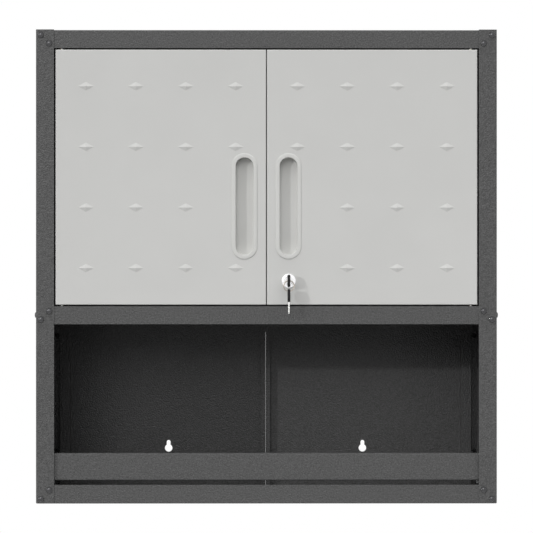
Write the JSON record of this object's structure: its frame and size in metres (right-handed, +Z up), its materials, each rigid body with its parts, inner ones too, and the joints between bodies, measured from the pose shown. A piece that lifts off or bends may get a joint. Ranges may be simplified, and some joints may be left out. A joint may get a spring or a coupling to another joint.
{
  "type": "hanging wall cabinet",
  "caption": "Steel wall cabinet with hinged, lockable doors over an open bay that a low fence bar closes at the front; it hangs from keyhole slots in its back panels.",
  "frame": {"origin": "on the underside, halfway along the edge that meets the wall", "axes": "+X to the right seen from the front, +Y back into the wall, +Z up; the wall is the plane Y = 0"},
  "size_m": [0.706, 0.3483, 0.72],
  "materials": {
    "charcoal_coat": "charcoal powder coat with a fine sandy texture, matt",
    "light_grey_coat": "light grey powder coat, smooth, satin",
    "black_bolt": "black coated steel, satin",
    "zinc_steel": "bright zinc plate, satin",
    "lock_chrome": "chrome plate, polished",
    "black_plastic": "black moulded plastic, satin",
    "key_steel": "nickel-plated steel, bright",
    "white_nylon": "natural white nylon",
    "dark_magnet": "dark ferrite magnet, dull"
  },
  "bodies": {
    "cabinet": {"post_front_left": "charcoal_coat", "post_front_right": "charcoal_coat", "post_rear_left": "charcoal_coat", "post_rear_right": "charcoal_coat", "top_panel": "charcoal_coat", "fixed_shelf": "charcoal_coat", "bottom_panel": "charcoal_coat", "side_panel_left": "charcoal_coat", "side_panel_right": "charcoal_coat", "back_panel_upper_left": "charcoal_coat", "back_panel_upper_right": "charcoal_coat", "back_panel_lower_left": "charcoal_coat", "back_panel_lower_right": "charcoal_coat", "fence_bar": "charcoal_coat", "adjustable_shelf": "charcoal_coat", "shelf_clips": "zinc_steel", "front_bolts": "black_bolt", "front_nuts": "zinc_steel", "side_bolts": "black_bolt", "side_nuts": "zinc_steel", "back_panel_screws": "black_bolt", "fence_screws": "black_bolt", "hinge_bracket_left": "zinc_steel", "hinge_bracket_right": "zinc_steel", "hinge_pins_left": "zinc_steel", "hinge_pins_right": "zinc_steel", "catch_bracket": "charcoal_coat", "catch_magnets": "dark_magnet"},
    "door_left": {"door_panel_left": "light_grey_coat", "door_bushes_left": "white_nylon", "pull_cup_left": "light_grey_coat", "strike_plate_left": "zinc_steel"},
    "door_right": {"door_panel_right": "light_grey_coat", "door_bushes_right": "white_nylon", "pull_cup_right": "light_grey_coat", "strike_plate_right": "zinc_steel", "lock_barrel": "lock_chrome", "lock_nut": "zinc_steel"},
    "lock_plug": {"lock_plug": "lock_chrome", "lock_cam": "zinc_steel", "cam_screw": "zinc_steel", "key_blade": "key_steel", "key_cover": "black_plastic"},
    "key_ring": {"key_ring": "key_steel", "spare_key_blade": "key_steel", "spare_key_cover": "black_plastic"}
  },
  "joints": [
    {"name": "door_left_hinge", "type": "hinge", "parent": "cabinet", "child": "door_left", "pos_m": [-0.31075, -0.3135, 0.49565], "axis": [0, 0, -1], "range_deg": [0, 110]},
    {"name": "door_right_hinge", "type": "hinge", "parent": "cabinet", "child": "door_right", "pos_m": [0.31075, -0.3135, 0.49565], "axis": [0, 0, 1], "range_deg": [0, 110]},
    {"name": "lock_turn", "type": "hinge", "parent": "door_right", "child": "lock_plug", "pos_m": [0.0338, -0.3195, 0.3386], "axis": [0, -1, 0], "range_deg": [0, 90]},
    {"name": "key_swing", "type": "hinge", "parent": "lock_plug", "child": "key_ring", "pos_m": [0.0338, -0.3389, 0.3386], "axis": [0, 1, 0], "range_deg": [-25, 25]}
  ]
}
